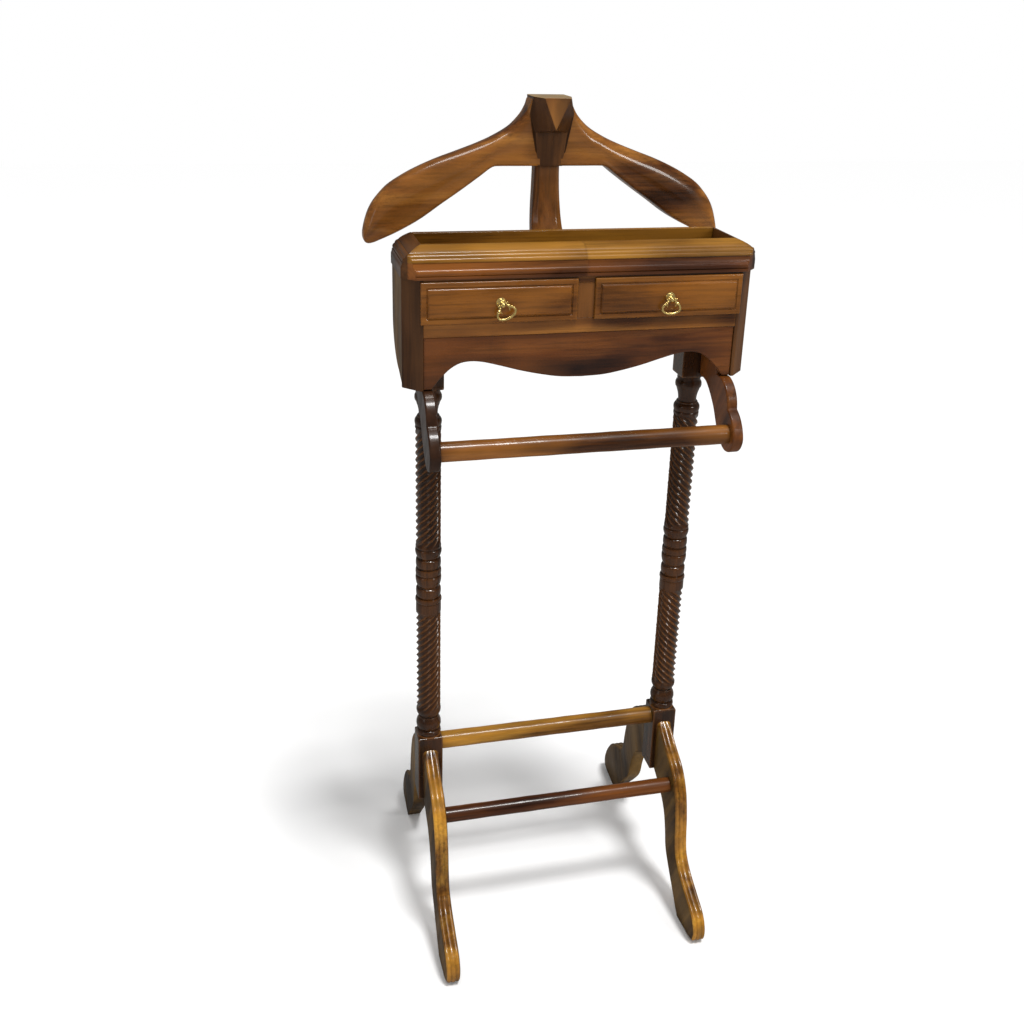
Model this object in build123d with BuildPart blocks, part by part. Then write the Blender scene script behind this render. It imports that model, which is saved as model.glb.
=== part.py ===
"""Mahogany valet stand: coat hanger on a swan-neck post, tray, two drawers,
trouser rail on two brackets, rope-twist columns, scroll legs and two foot rails.

Frame: millimetres, +Z up, +X to the right of someone facing the drawers, front is -Y.
The origin is on the floor, midway between the two columns.
"""
from build123d import *
from math import cos, radians, sin
import os

os.makedirs("parts", exist_ok=True)

# ---------------------------------------------------------------- driving dimensions
COLUMN_X = 176.7          # column axis to the middle plane
BLOCK = 35.0              # square blocks at the column ends
BLOCK_BOTTOM = 162.0      # underside of the lower block
BLOCK_TOP = 265.7         # top of the lower block
CAP_BOTTOM = 787.0        # underside of the upper block
TWIST_RADIUS = 17.2       # over the rope strands
STRANDS = 9
TWIST_PITCH = 90.0        # rise of one strand in one turn

BOARD = 12.0              # thickness of the case boards
CASE_BOTTOM = 875.5       # underside of the front rail
DRAWER_FLOOR = 893.5      # top of the case bottom, where the drawers slide
TRAY_UNDER = 937.0        # underside of the tray floor
CASE_TOP = 945.0          # top of the tray floor, where the rim moulding sits
RIM_TOP = 982.0
FRONT_Y = -85.0           # front face of the case frame
BACK_Y = 12.5             # back face of the case
BACK_BOARD = 8.5
BACK_BOARD_LOW = 850.0
SIDE_X = 219.0            # outer face of the side panels
CANT = 19.0               # leg of the 45 degree corner cut
STILE_X = 196.0           # inner edge of the corner posts' front faces
POST_LOW = 810.0          # foot of the corner posts
RIM_IN = 24.5             # moulding inside the case outline
RIM_CANT = 8.0            # moulding beyond the canted corner, along the front
RIM_PROUD = 1.5           # moulding beyond the side panels
APRON_SET_BACK = 2.0
APRON_THICK = 9.0

DIVIDER_HALF = 12.0
DRAWER_X = 105.1          # middle of each drawer front
FRONT_WIDE = 189.0
FRONT_LOW = 892.0
FRONT_HIGH = 942.5
LIP = 3.4                 # drawer front's lip, proud of the frame
LIP_GAP = 0.2
FIELD = 1.8               # raised field on the drawer front
FIELD_INSET = 8.0
BOX_WALL = 8.0
BOX_HIGH = 930.0
BOX_BACK_Y = -4.0
BOX_BOTTOM = 4.0

PULL_Z = 917.3            # middle of the rosette
HINGE_OUT = 6.3           # bail axis in front of the field
HINGE_DROP = 1.8          # bail axis below the middle of the rosette
BOLT_RADIUS = 2.0
BAIL_WIRE = 1.15
PIN_RADIUS = 0.8
LEFT_PULL_TURN = 25.0     # the left pull is turned on its bolt, degrees

BRACKET_X = 183.5         # inner faces of the rail brackets
BRACKET_THICK = 14.0
RAIL_Y = -119.0
RAIL_Z = 745.0
RAIL_RADIUS = 12.4
TENON_RADIUS = 7.0
TENON = 9.0
FIT = 0.05                # radial clearance of round tenons and bolts

LEG_THICK = 20.5
LOW_RAIL_Y = -77.0
LOW_RAIL_Z = 179.0
LOW_RAIL_RADIUS = 10.8
HIGH_RAIL_Z = 249.0
HIGH_RAIL_RADIUS = 12.4

HANGER_FRONT = 98.0       # front and back faces of the arms
HANGER_BACK = 134.0
HANGER_UNDER = 1047.5     # straight underside
HANGER_TOP = 1135.0
HEAD_HALF = 18.0          # carved block between the arms
HEAD_FRONT = 101.0        # front of the carved block below its nose
NOSE_FRONT = 70.0         # top edge of the nose, over the tray
NOSE_LOW = 1094.5
NOSE_LEAN = 5.5
POST_HALF_TOP = 16.8
POST_HALF_LOW = 22.5
SCREW_RADIUS = 2.0
SCREW_HEAD = 4.0

SIDES = ((-1, "left"), (1, "right"))
BLOCK_HALF = BLOCK / 2
CASE_INSIDE_X = SIDE_X - BOARD
BACK_INSIDE_Y = BACK_Y - BACK_BOARD
FIELD_Y = FRONT_Y - LIP_GAP - LIP - FIELD
HINGE_Y = FIELD_Y - HINGE_OUT


def write(part, name):
    """Label one piece and write its STEP file."""
    part.label = name
    export_step(part, f"parts/{name}.step")


def upright(x=0.0, y=0.0, z=0.0):
    """Plane facing the front: sketch x is +X and sketch y is +Z."""
    return Plane(origin=(x, y, z), x_dir=(1, 0, 0), z_dir=(0, -1, 0))


def box_between(low, high, mode=Mode.ADD):
    """Board between two corners, inside the active part."""
    with BuildSketch(Plane.XY.offset(low[2]), mode=Mode.PRIVATE) as footprint:
        with Locations(((low[0] + high[0]) / 2, (low[1] + high[1]) / 2)):
            Rectangle(high[0] - low[0], high[1] - low[1])
    extrude(footprint.sketch, amount=high[2] - low[2], mode=mode)


def pilot_hole(x, y):
    """Hole up into the top of a piece that is screwed under the case, inside the active part."""
    with BuildSketch(Plane.XY.offset(DRAWER_FLOOR - BOARD), mode=Mode.PRIVATE) as hole:
        with Locations((x, y)):
            Circle(SCREW_RADIUS + FIT)
    extrude(hole.sketch, amount=-10, mode=Mode.SUBTRACT)


# ---------------------------------------------------------------- columns
COLUMN_SCREW_Y = -6.0
# Turned stations from the upper block down to the lower block, as (radius, height).
UPPER_TURNING = [
    (15.5, CAP_BOTTOM), (15.5, 779.5), (17.6, 776.0), (17.6, 771.0), (15.2, 768.0),
    (12.6, 757.0), (12.3, 750.5), (14.5, 749.0), (17.6, 743.0), (17.6, 738.5), (16.4, 735.0),
]
MIDDLE_TURNING = [
    (16.4, 562.0), (17.8, 558.0), (17.2, 552.0), (15.0, 547.5), (16.9, 544.0), (16.9, 534.5),
    (15.3, 532.2), (17.2, 529.0), (17.4, 522.5), (16.6, 521.3), (17.4, 520.0), (17.2, 510.0),
    (14.6, 504.0), (16.9, 500.5), (16.9, 492.0), (15.4, 488.0), (17.9, 485.5), (17.9, 482.0),
    (17.0, 479.0), (17.0, 468.0),
]
LOWER_TURNING = [
    (16.4, 306.0), (17.0, 303.5), (15.4, 300.0), (12.8, 298.0), (13.6, 294.0), (17.4, 287.5),
    (17.4, 281.5), (14.9, 276.5), (15.4, 274.0), (17.4, 271.5), (17.4, BLOCK_TOP),
]


def rope(x, low, high, hand):
    """Twisted length of a column, with half-round hollows between its strands."""
    with BuildSketch(Plane((x, 0, low))) as section:
        Circle(TWIST_RADIUS)
        with PolarLocations(TWIST_RADIUS + 0.9, STRANDS):
            Circle(2.7, mode=Mode.SUBTRACT)
    turn = hand * 360 * (high - low) / TWIST_PITCH
    return Solid.extrude_linear_with_rotation(
        section.sketch.faces()[0], (x, 0, low), (0, 0, high - low), turn
    )


for side, tag in SIDES:
    x = side * COLUMN_X
    upper_rope = rope(x, MIDDLE_TURNING[0][1], UPPER_TURNING[-1][1], -side)
    lower_rope = rope(x, LOWER_TURNING[0][1], MIDDLE_TURNING[-1][1], -side)
    with BuildPart() as column:
        for stations in (UPPER_TURNING, MIDDLE_TURNING, LOWER_TURNING):
            with BuildSketch(upright(x)):
                with BuildLine():
                    Polyline((0, stations[0][1]), *stations, (0, stations[-1][1]), close=True)
                make_face()
            revolve(axis=Axis((x, 0, 0), (0, 0, 1)))
        add(upper_rope)
        add(lower_rope)
        box_between((x - BLOCK_HALF, -BLOCK_HALF, CAP_BOTTOM),
                    (x + BLOCK_HALF, BLOCK_HALF, DRAWER_FLOOR - BOARD))
        box_between((x - BLOCK_HALF, -BLOCK_HALF, BLOCK_BOTTOM), (x + BLOCK_HALF, BLOCK_HALF, BLOCK_TOP))
        with BuildSketch(Plane.YZ.offset(x - side * BLOCK_HALF)):
            with Locations((0, HIGH_RAIL_Z)):
                Circle(TENON_RADIUS + FIT)
        extrude(amount=side * (TENON + 1), mode=Mode.SUBTRACT)
        pilot_hole(x, COLUMN_SCREW_Y)
    write(column.part, f"column_{tag}")

# ---------------------------------------------------------------- legs
# Outlines of the legs as (distance from the column axis, height). The rear ones have a deeper notch.
SHIN = {
    "front": [(BLOCK_HALF, 246), (48, 226), (81, 208), (103, 178), (113, 135), (120, 95)],
    "rear": [(BLOCK_HALF, 246), (48, 226), (81, 208), (102, 186), (117, 147), (124, 108), (130, 90)],
}
TOE = {
    "front": [(138, 73), (167, 58), (195, 43.5), (207.5, 20)],
    "rear": [(154, 81), (177, 68), (197, 46), (207.5, 20)],
}
CALF = [
    (148, 0), (128, 22), (106, 46), (86, 72), (79, 97), (70, 121), (57, 138), (38, 151), (BLOCK_HALF, 163),
]

for side, tag in SIDES:
    for facing, place in ((-1, "front"), (1, "rear")):
        inner = side * (COLUMN_X - LEG_THICK / 2)
        with BuildPart() as leg:
            with BuildSketch(Plane.YZ.offset(inner)):
                with BuildLine():
                    shin = [(facing * y, z) for y, z in SHIN[place]]
                    toe = [(facing * y, z) for y, z in TOE[place]]
                    calf = [(facing * y, z) for y, z in CALF]
                    if place == "front":
                        Spline(*shin, *toe)
                    else:
                        Spline(*shin)
                        Spline(shin[-1], *toe)
                    ThreePointArc(toe[-1], (facing * 204.5, 6), (facing * 192, 0))
                    Line((facing * 192, 0), calf[0])
                    Spline(*calf)
                    Line(calf[-1], shin[0])
                make_face()
            extrude(amount=side * LEG_THICK)
            if place == "front":
                with BuildSketch(Plane.YZ.offset(inner)):
                    with Locations((LOW_RAIL_Y, LOW_RAIL_Z)):
                        Circle(TENON_RADIUS + FIT)
                extrude(amount=side * (TENON + 1), mode=Mode.SUBTRACT)
        write(leg.part, f"{place}_leg_{tag}")

# ---------------------------------------------------------------- round rails
RAILS = [
    ("upper_foot_rail", COLUMN_X - BLOCK_HALF, 0.0, HIGH_RAIL_Z, HIGH_RAIL_RADIUS),
    ("lower_foot_rail", COLUMN_X - LEG_THICK / 2, LOW_RAIL_Y, LOW_RAIL_Z, LOW_RAIL_RADIUS),
    ("trouser_rail", BRACKET_X, RAIL_Y, RAIL_Z, RAIL_RADIUS),
]
for name, half, y, z, radius in RAILS:
    with BuildPart() as rail:
        with BuildSketch(Plane.YZ):
            with Locations((y, z)):
                Circle(radius)
        extrude(amount=half, both=True)
        with BuildSketch(Plane.YZ):
            with Locations((y, z)):
                Circle(TENON_RADIUS)
        extrude(amount=half + TENON, both=True)
    write(rail.part, name)

# ---------------------------------------------------------------- trouser rail brackets
BRACKET_FRONT_Y = FRONT_Y + BOARD + 1.7
BRACKET_SCREW = (BRACKET_X + BRACKET_THICK / 2, -46.0)
for side, tag in SIDES:
    with BuildPart() as bracket:
        with BuildSketch(Plane.YZ.offset(side * BRACKET_X)):
            with BuildLine():
                Polyline((-BLOCK_HALF, 791.5), (-BLOCK_HALF, DRAWER_FLOOR - BOARD),
                         (BRACKET_FRONT_Y, DRAWER_FLOOR - BOARD), (BRACKET_FRONT_Y, 809.5), (-84, 809.5))
                ThreePointArc((-84, 809.5), (-105, 797.5), (-114, 776))
                ThreePointArc((-114, 776), (-132, 762), (-140, 744))
                ThreePointArc((-140, 744), (-125, 722.5), (-104, 724.5))
                Spline((-104, 724.5), (-85, 742), (-68, 766), (-40, 788.5), (-BLOCK_HALF, 791.5))
            make_face()
        extrude(amount=side * BRACKET_THICK)
        with BuildSketch(Plane.YZ.offset(side * BRACKET_X)):
            with Locations((RAIL_Y, RAIL_Z)):
                Circle(TENON_RADIUS + FIT)
        extrude(amount=side * (TENON + 1), mode=Mode.SUBTRACT)
        pilot_hole(side * BRACKET_SCREW[0], BRACKET_SCREW[1])
    write(bracket.part, f"bracket_{tag}")

# ---------------------------------------------------------------- case
for side, tag in SIDES:
    with BuildPart() as corner:
        with BuildSketch(Plane.XY.offset(POST_LOW)):
            with BuildLine():
                Polyline(
                    (side * STILE_X, FRONT_Y), (side * (SIDE_X - CANT), FRONT_Y),
                    (side * SIDE_X, FRONT_Y + CANT), (side * SIDE_X, FRONT_Y + CANT + 4),
                    (side * CASE_INSIDE_X, FRONT_Y + CANT + 4), (side * STILE_X, FRONT_Y + BOARD),
                    close=True,
                )
            make_face()
        extrude(amount=CASE_TOP - POST_LOW)
    write(corner.part, f"corner_post_{tag}")

    with BuildPart() as panel:
        with BuildSketch(Plane.YZ.offset(side * CASE_INSIDE_X)):
            with BuildLine():
                Polyline((-38, 824), (FRONT_Y + CANT + 4, 815), (FRONT_Y + CANT + 4, CASE_TOP),
                         (BACK_Y, CASE_TOP), (BACK_Y, 884))
                ThreePointArc((BACK_Y, 884), (-3, 843), (-38, 824))
            make_face()
        extrude(amount=side * BOARD)
    write(panel.part, f"side_panel_{tag}")

INSIDE_PLAN = [
    (STILE_X, FRONT_Y + BOARD), (CASE_INSIDE_X, FRONT_Y + CANT + 4), (CASE_INSIDE_X, BACK_INSIDE_Y),
    (-CASE_INSIDE_X, BACK_INSIDE_Y), (-CASE_INSIDE_X, FRONT_Y + CANT + 4),
    (-STILE_X, FRONT_Y + BOARD),
]
CAP_SCREWS = [(side * COLUMN_X, COLUMN_SCREW_Y) for side, _ in SIDES]
CAP_SCREWS += [(side * BRACKET_SCREW[0], BRACKET_SCREW[1]) for side, _ in SIDES]

with BuildPart() as case_bottom:
    with BuildSketch(Plane.XY.offset(DRAWER_FLOOR - BOARD)):
        with BuildLine():
            Polyline(*INSIDE_PLAN, close=True)
        make_face()
    extrude(amount=BOARD)
    with Locations(*[(x, y, DRAWER_FLOOR) for x, y in CAP_SCREWS]):
        CounterSinkHole(SCREW_RADIUS + FIT, SCREW_HEAD + FIT)
write(case_bottom.part, "case_bottom")

with BuildPart() as tray_floor:
    with BuildSketch(Plane.XY.offset(TRAY_UNDER)):
        with BuildLine():
            Polyline((-STILE_X, FRONT_Y), (STILE_X, FRONT_Y), *INSIDE_PLAN, close=True)
        make_face()
    extrude(amount=CASE_TOP - TRAY_UNDER)
write(tray_floor.part, "tray_floor")

with BuildPart() as bottom_rail:
    box_between((-STILE_X, FRONT_Y, CASE_BOTTOM), (STILE_X, FRONT_Y + BOARD, DRAWER_FLOOR))
write(bottom_rail.part, "bottom_rail")

with BuildPart() as divider:
    box_between((-DIVIDER_HALF, FRONT_Y, DRAWER_FLOOR), (DIVIDER_HALF, FRONT_Y + BOARD, TRAY_UNDER))
write(divider.part, "divider")

with BuildPart() as partition:
    box_between((-BOARD / 2, FRONT_Y + BOARD, DRAWER_FLOOR), (BOARD / 2, BACK_INSIDE_Y, TRAY_UNDER))
write(partition.part, "partition")

POST_SCREWS = (860.0, 874.0)
with BuildPart() as back_board:
    box_between((-CASE_INSIDE_X, BACK_INSIDE_Y, BACK_BOARD_LOW), (CASE_INSIDE_X, BACK_Y, CASE_TOP))
    box_between((RIM_IN - SIDE_X, BACK_INSIDE_Y, CASE_TOP), (SIDE_X - RIM_IN, BACK_Y, RIM_TOP))
    with Locations(Plane(origin=(0, BACK_INSIDE_Y, 0), x_dir=(1, 0, 0), z_dir=(0, -1, 0))):
        with Locations(*[(0, z) for z in POST_SCREWS]):
            CounterSinkHole(SCREW_RADIUS + FIT, SCREW_HEAD + FIT)
    for side, tag in SIDES:
        box_between((side * COLUMN_X - BLOCK_HALF - FIT, BACK_INSIDE_Y, BACK_BOARD_LOW),
                    (side * COLUMN_X + BLOCK_HALF + FIT, BACK_Y, DRAWER_FLOOR - BOARD),
                    mode=Mode.SUBTRACT)
write(back_board.part, "back_board")

with BuildPart() as apron:
    with BuildSketch(upright(y=FRONT_Y + APRON_SET_BACK)):
        with BuildLine():
            for side in (-1, 1):
                Spline((0, 818.7), (side * 53, 824.2), (side * 103, 837.2), (side * 139, 844.2),
                       (side * 158, 839), (side * 173, 826.5), (side * 186, 811),
                       tangents=((side, 0), (side * 0.45, -0.9)))
                Polyline((side * 186, 811), (side * STILE_X, 811), (side * STILE_X, CASE_BOTTOM),
                         (0, CASE_BOTTOM))
        make_face()
    extrude(amount=-APRON_THICK)
write(apron.part, "apron")

# ---------------------------------------------------------------- reeded rim moulding
def rim_section(plane):
    """Moulding section, out from the inner edge and up from the case top: a sloping top over
    two reeds, a shallow cove, a bead and a square fillet."""
    with BuildSketch(plane) as section:
        with BuildLine():
            Polyline((27.4, 0), (0, 0), (0, RIM_HIGH))
            ThreePointArc((0, RIM_HIGH), (8.8, 34.4), (16.6, 29.6))
            Line((16.6, 29.6), (17, 28.9))
            ThreePointArc((17, 28.9), (19.8, 27.5), (21.3, 24.8))
            Line((21.3, 24.8), (21.6, 24))
            ThreePointArc((21.6, 24), (23.5, 22.5), (24.2, 20.2))
            Polyline((24.2, 20.2), (23.6, 19), (24.6, 18.2))
            ThreePointArc((24.6, 18.2), (24.9, 15.2), (26, 12.6))
            Line((26, 12.6), (26.6, 12.2))
            ThreePointArc((26.6, 12.2), (29, 8.5), (27.6, 4.8))
            Polyline((27.6, 4.8), (27, 4.4), (28, 4), (28, 1.2), (27.4, 0))
        make_face()
    return section.sketch


RIM_HIGH = RIM_TOP - CASE_TOP
INNER_Y = FRONT_Y + RIM_IN
INNER_X = SIDE_X - RIM_IN


def mitre(side):
    """Upright plane through one corner of the tray, facing away from the front length."""
    return Plane(origin=(side * INNER_X, INNER_Y, 0), z_dir=(side, 1, 0))


def cant(side):
    """Upright plane that cuts the moulding's corner, just outside the corner post."""
    return Plane(origin=(side * (SIDE_X - CANT + RIM_CANT), FRONT_Y, 0), z_dir=(side, -1, 0))


front_section = rim_section(Plane(origin=(0, INNER_Y, CASE_TOP), x_dir=(0, -1, 0), z_dir=(-1, 0, 0)))
with BuildPart() as rim_front:
    extrude(front_section, amount=SIDE_X, both=True)
    for side, tag in SIDES:
        split(bisect_by=mitre(side), keep=Keep.BOTTOM)
        split(bisect_by=cant(side), keep=Keep.BOTTOM)
write(rim_front.part, "rim_front")

for side, tag in SIDES:
    side_section = rim_section(Plane(origin=(side * INNER_X, BACK_Y, CASE_TOP), x_dir=(side, 0, 0),
                                     z_dir=(0, -side, 0)))
    with BuildPart() as rim_side:
        extrude(side_section, amount=side * (BACK_Y - FRONT_Y + RIM_IN))
        split(bisect_by=mitre(side), keep=Keep.TOP)
        split(bisect_by=cant(side), keep=Keep.BOTTOM)
        split(bisect_by=Plane(origin=(side * (SIDE_X + RIM_PROUD), 0, 0), z_dir=(side, 0, 0)),
              keep=Keep.BOTTOM)
    write(rim_side.part, f"rim_side_{tag}")

# ---------------------------------------------------------------- drawers
BODY_GAP = 0.6
BOX_LOW = DRAWER_FLOOR + 0.5
for side, tag in SIDES:
    inner = DIVIDER_HALF + BODY_GAP
    outer = STILE_X - BODY_GAP
    low_x, high_x = sorted((side * inner, side * outer))
    lip_back = FRONT_Y - LIP_GAP
    box_front = FRONT_Y + BOARD

    with BuildPart() as front:
        box_between((low_x, lip_back, BOX_LOW), (high_x, box_front, TRAY_UNDER - BODY_GAP))
        box_between((side * DRAWER_X - FRONT_WIDE / 2, lip_back - LIP, FRONT_LOW),
                    (side * DRAWER_X + FRONT_WIDE / 2, lip_back, FRONT_HIGH))
        with BuildSketch(upright(side * DRAWER_X, lip_back - LIP, (FRONT_LOW + FRONT_HIGH) / 2)):
            Rectangle(FRONT_WIDE - 2 * FIELD_INSET, FRONT_HIGH - FRONT_LOW - 2 * FIELD_INSET)
        extrude(amount=FIELD, taper=35)
        with BuildSketch(upright(side * DRAWER_X, FIELD_Y, PULL_Z)):
            Circle(BOLT_RADIUS + FIT)
        extrude(amount=-2 * BOARD, mode=Mode.SUBTRACT)
    write(front.part, f"drawer_{tag}_front")

    for wall_x, wall in ((low_x, "a"), (high_x - BOX_WALL, "b")):
        with BuildPart() as box_side:
            box_between((wall_x, box_front, BOX_LOW), (wall_x + BOX_WALL, BOX_BACK_Y, BOX_HIGH))
        write(box_side.part, f"drawer_{tag}_side_{wall}")

    with BuildPart() as box_back:
        box_between((low_x + BOX_WALL, BOX_BACK_Y - BOX_WALL, BOX_LOW),
                    (high_x - BOX_WALL, BOX_BACK_Y, BOX_HIGH - 4))
    write(box_back.part, f"drawer_{tag}_back")

    with BuildPart() as box_bottom:
        box_between((low_x + BOX_WALL, box_front, BOX_LOW + 3),
                    (high_x - BOX_WALL, BOX_BACK_Y - BOX_WALL, BOX_LOW + 3 + BOX_BOTTOM))
    write(box_bottom.part, f"drawer_{tag}_bottom")

# ---------------------------------------------------------------- brass pulls
EYE_IN = 3.0
EYE_OUT = 5.0
EYE_RADIUS = 2.1
COLLAR_RADIUS = 1.8
PIN_PROUD = 0.7
for side, tag in SIDES:
    turn = radians(LEFT_PULL_TURN) if tag == "left" else 0.0
    across = (cos(turn), 0, sin(turn))

    def pull_plane(y, drop=0.0):
        """Plane square to the bolt; sketch x runs along the bail axis."""
        point = (side * DRAWER_X + drop * sin(turn), y, PULL_Z - drop * cos(turn))
        return Plane(origin=point, x_dir=across, z_dir=(0, -1, 0))

    pivot = pull_plane(HINGE_Y, HINGE_DROP).origin
    hinge_line = Plane(origin=pivot, x_dir=(0, -1, 0), z_dir=across)

    with BuildPart() as rosette:
        with BuildSketch(pull_plane(FIELD_Y)):
            Circle(5.6)
        extrude(amount=0.9)
        with BuildSketch(pull_plane(FIELD_Y - 0.9)):
            Circle(4.2)
        extrude(amount=0.7, taper=30)
        with BuildSketch(pull_plane(FIELD_Y)):
            Circle(BOLT_RADIUS + FIT)
        extrude(amount=2, mode=Mode.SUBTRACT)
    write(rosette.part, f"rosette_{tag}")

    with BuildPart() as bolt:
        with BuildSketch(pull_plane(HINGE_Y + 1)):
            Circle(BOLT_RADIUS)
        extrude(amount=-(HINGE_OUT + 22))
        with BuildSketch(hinge_line):
            Circle(2.7)
        extrude(amount=EYE_IN - 0.25, both=True)
        with BuildSketch(hinge_line):
            Circle(PIN_RADIUS + 0.03)
        extrude(amount=EYE_IN, both=True, mode=Mode.SUBTRACT)
    write(bolt.part, f"pull_bolt_{tag}")

    with BuildPart() as pin:
        with BuildSketch(hinge_line):
            Circle(PIN_RADIUS)
        extrude(amount=EYE_OUT + PIN_PROUD, both=True)
        for end in (-1, 1):
            with BuildSketch(hinge_line.offset(end * (EYE_OUT + PIN_PROUD))):
                Circle(1.4)
            extrude(amount=end * 0.6)
    write(pin.part, f"pull_pin_{tag}")

    with BuildPart() as nut:
        with BuildSketch(pull_plane(FRONT_Y + BOARD)):
            RegularPolygon(3.6, 6, major_radius=False)
            Circle(BOLT_RADIUS + FIT, mode=Mode.SUBTRACT)
        extrude(amount=-3.2)
    write(nut.part, f"pull_nut_{tag}")

    with BuildPart() as bail:
        with BuildLine(pull_plane(HINGE_Y, HINGE_DROP)) as loop:
            Spline((-4.05, 0), (-6.4, -4.6), (-9.4, -7.2), (-11.4, -11.2), (-8.4, -16.2), (0, -17.6),
                   (8.4, -16.2), (11.4, -11.2), (9.4, -7.2), (6.4, -4.6), (4.05, 0))
        with BuildSketch(Plane(origin=loop.line @ 0, z_dir=loop.line % 0)):
            Circle(BAIL_WIRE)
        sweep()
        for end in (-1, 1):
            with BuildSketch(hinge_line.offset(end * EYE_IN)):
                Circle(EYE_RADIUS)
            extrude(amount=end * (EYE_OUT - EYE_IN))
            collar = pull_plane(HINGE_Y, HINGE_DROP) * Location((end * 7.5, -5.6, 0), (0, 0, -end * 41))
            with BuildSketch(Plane(origin=collar.position, z_dir=Plane(collar).x_dir)):
                Circle(COLLAR_RADIUS)
            extrude(amount=0.8, both=True)
        with BuildSketch(hinge_line):
            Circle(PIN_RADIUS + 0.08)
        extrude(amount=EYE_OUT + 1, both=True, mode=Mode.SUBTRACT)
    write(bail.part, f"bail_{tag}")

# ---------------------------------------------------------------- hanger
with BuildPart() as head:
    box_between((-HEAD_HALF, HEAD_FRONT, HANGER_UNDER), (HEAD_HALF, HANGER_BACK + 3, HANGER_TOP))
    with BuildSketch(upright(y=HEAD_FRONT)):
        Polygon((-HEAD_HALF, HANGER_TOP), (HEAD_HALF, HANGER_TOP), (13.5, 1087), (-13.5, 1087), align=None)
    nose_rise = HANGER_TOP - NOSE_LOW
    nose_plane = Plane(origin=(0, NOSE_FRONT, HANGER_TOP), x_dir=(1, 0, 0),
                       z_dir=(0, -nose_rise, -NOSE_LEAN))
    with BuildSketch(nose_plane):
        Polygon((-HEAD_HALF, 0), (HEAD_HALF, 0), (0.6, -nose_rise), (-0.6, -nose_rise), align=None)
    loft(ruled=True)
write(head.part, "hanger_head")

for side, tag in SIDES:
    with BuildPart() as arm:
        with BuildSketch(upright(y=HANGER_FRONT)):
            with BuildLine():
                Polyline((side * HEAD_HALF, HANGER_UNDER), (side * HEAD_HALF, HANGER_TOP),
                         (side * 25.5, HANGER_TOP))
                Spline((side * 25.5, HANGER_TOP), (side * 37, 1111), (side * 53, 1096.5),
                       (side * 94, 1075.5), (side * 149, 1055.5), (side * 196, 1033), (side * 222, 1012),
                       (side * 237, 989), (side * 244, 966))
                ThreePointArc((side * 244, 966), (side * 243, 954), (side * 236, 949.5))
                Spline((side * 236, 949.5), (side * 222, 955.5), (side * 170, 981.5),
                       (side * 118, 1017), (side * 78, 1046))
                Line((side * 78, 1046), (side * 74, HANGER_UNDER))
                Line((side * 74, HANGER_UNDER), (side * HEAD_HALF, HANGER_UNDER))
            make_face()
        extrude(amount=-(HANGER_BACK - HANGER_FRONT))
    write(arm.part, f"hanger_arm_{tag}")

with BuildPart() as post:
    with BuildSketch(Plane.YZ.offset(-POST_HALF_LOW)):
        with BuildLine():
            Polyline((107, HANGER_UNDER), (137, HANGER_UNDER))
            Spline((137, HANGER_UNDER), (131, 988), (98, 935), (56, 905), (42, 875), (42, BACK_BOARD_LOW),
                   tangents=((0, -1), (0, -1)))
            Polyline((42, BACK_BOARD_LOW), (BACK_Y, BACK_BOARD_LOW), (BACK_Y, 887))
            Spline((BACK_Y, 887), (34, 919), (77, 945), (104, 988), (107, HANGER_UNDER),
                   tangents=((0, 1), (0, 1)))
        make_face()
    extrude(amount=2 * POST_HALF_LOW)
    with BuildSketch(upright()):
        with BuildLine():
            for side in (-1, 1):
                Spline((side * POST_HALF_TOP, HANGER_UNDER), (side * (POST_HALF_TOP + 1), 1015),
                       (side * POST_HALF_LOW, 950), tangents=((0, -1), (0, -1)))
                Polyline((side * POST_HALF_LOW, 950), (side * POST_HALF_LOW, BACK_BOARD_LOW),
                         (0, BACK_BOARD_LOW))
            Line((-POST_HALF_TOP, HANGER_UNDER), (POST_HALF_TOP, HANGER_UNDER))
        make_face()
    extrude(amount=-2 * HANGER_BACK, mode=Mode.INTERSECT)
    with BuildSketch(upright(y=BACK_Y)):
        with Locations(*[(0, z) for z in POST_SCREWS]):
            Circle(SCREW_RADIUS + FIT)
    extrude(amount=-14, mode=Mode.SUBTRACT)
write(post.part, "hanger_post")

# ---------------------------------------------------------------- screws
SCREW_LONG = 20.0


def screw(point, direction):
    """Countersunk screw inside the active part, head flush at the point."""
    x_dir = (1, 0, 0)
    with BuildSketch(Plane(origin=point, x_dir=x_dir, z_dir=direction), mode=Mode.PRIVATE) as disc:
        Circle(SCREW_HEAD)
    extrude(disc.sketch, amount=SCREW_HEAD - SCREW_RADIUS, taper=45)
    with BuildSketch(Plane(origin=point, x_dir=x_dir, z_dir=direction), mode=Mode.PRIVATE) as shank:
        Circle(SCREW_RADIUS)
    extrude(shank.sketch, amount=SCREW_LONG)


with BuildPart() as post_screws:
    for z in POST_SCREWS:
        screw((0, BACK_INSIDE_Y, z), (0, 1, 0))
write(post_screws.part, "post_screws")

with BuildPart() as case_screws:
    for x, y in CAP_SCREWS:
        screw((x, y, DRAWER_FLOOR), (0, 0, -1))
write(case_screws.part, "case_screws")
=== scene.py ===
"""Looks of the mahogany valet stand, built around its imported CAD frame.

Lengths inside the shape functions are millimetres in the row frame; mesh() turns them into metres.
"""
import math
import random

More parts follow.
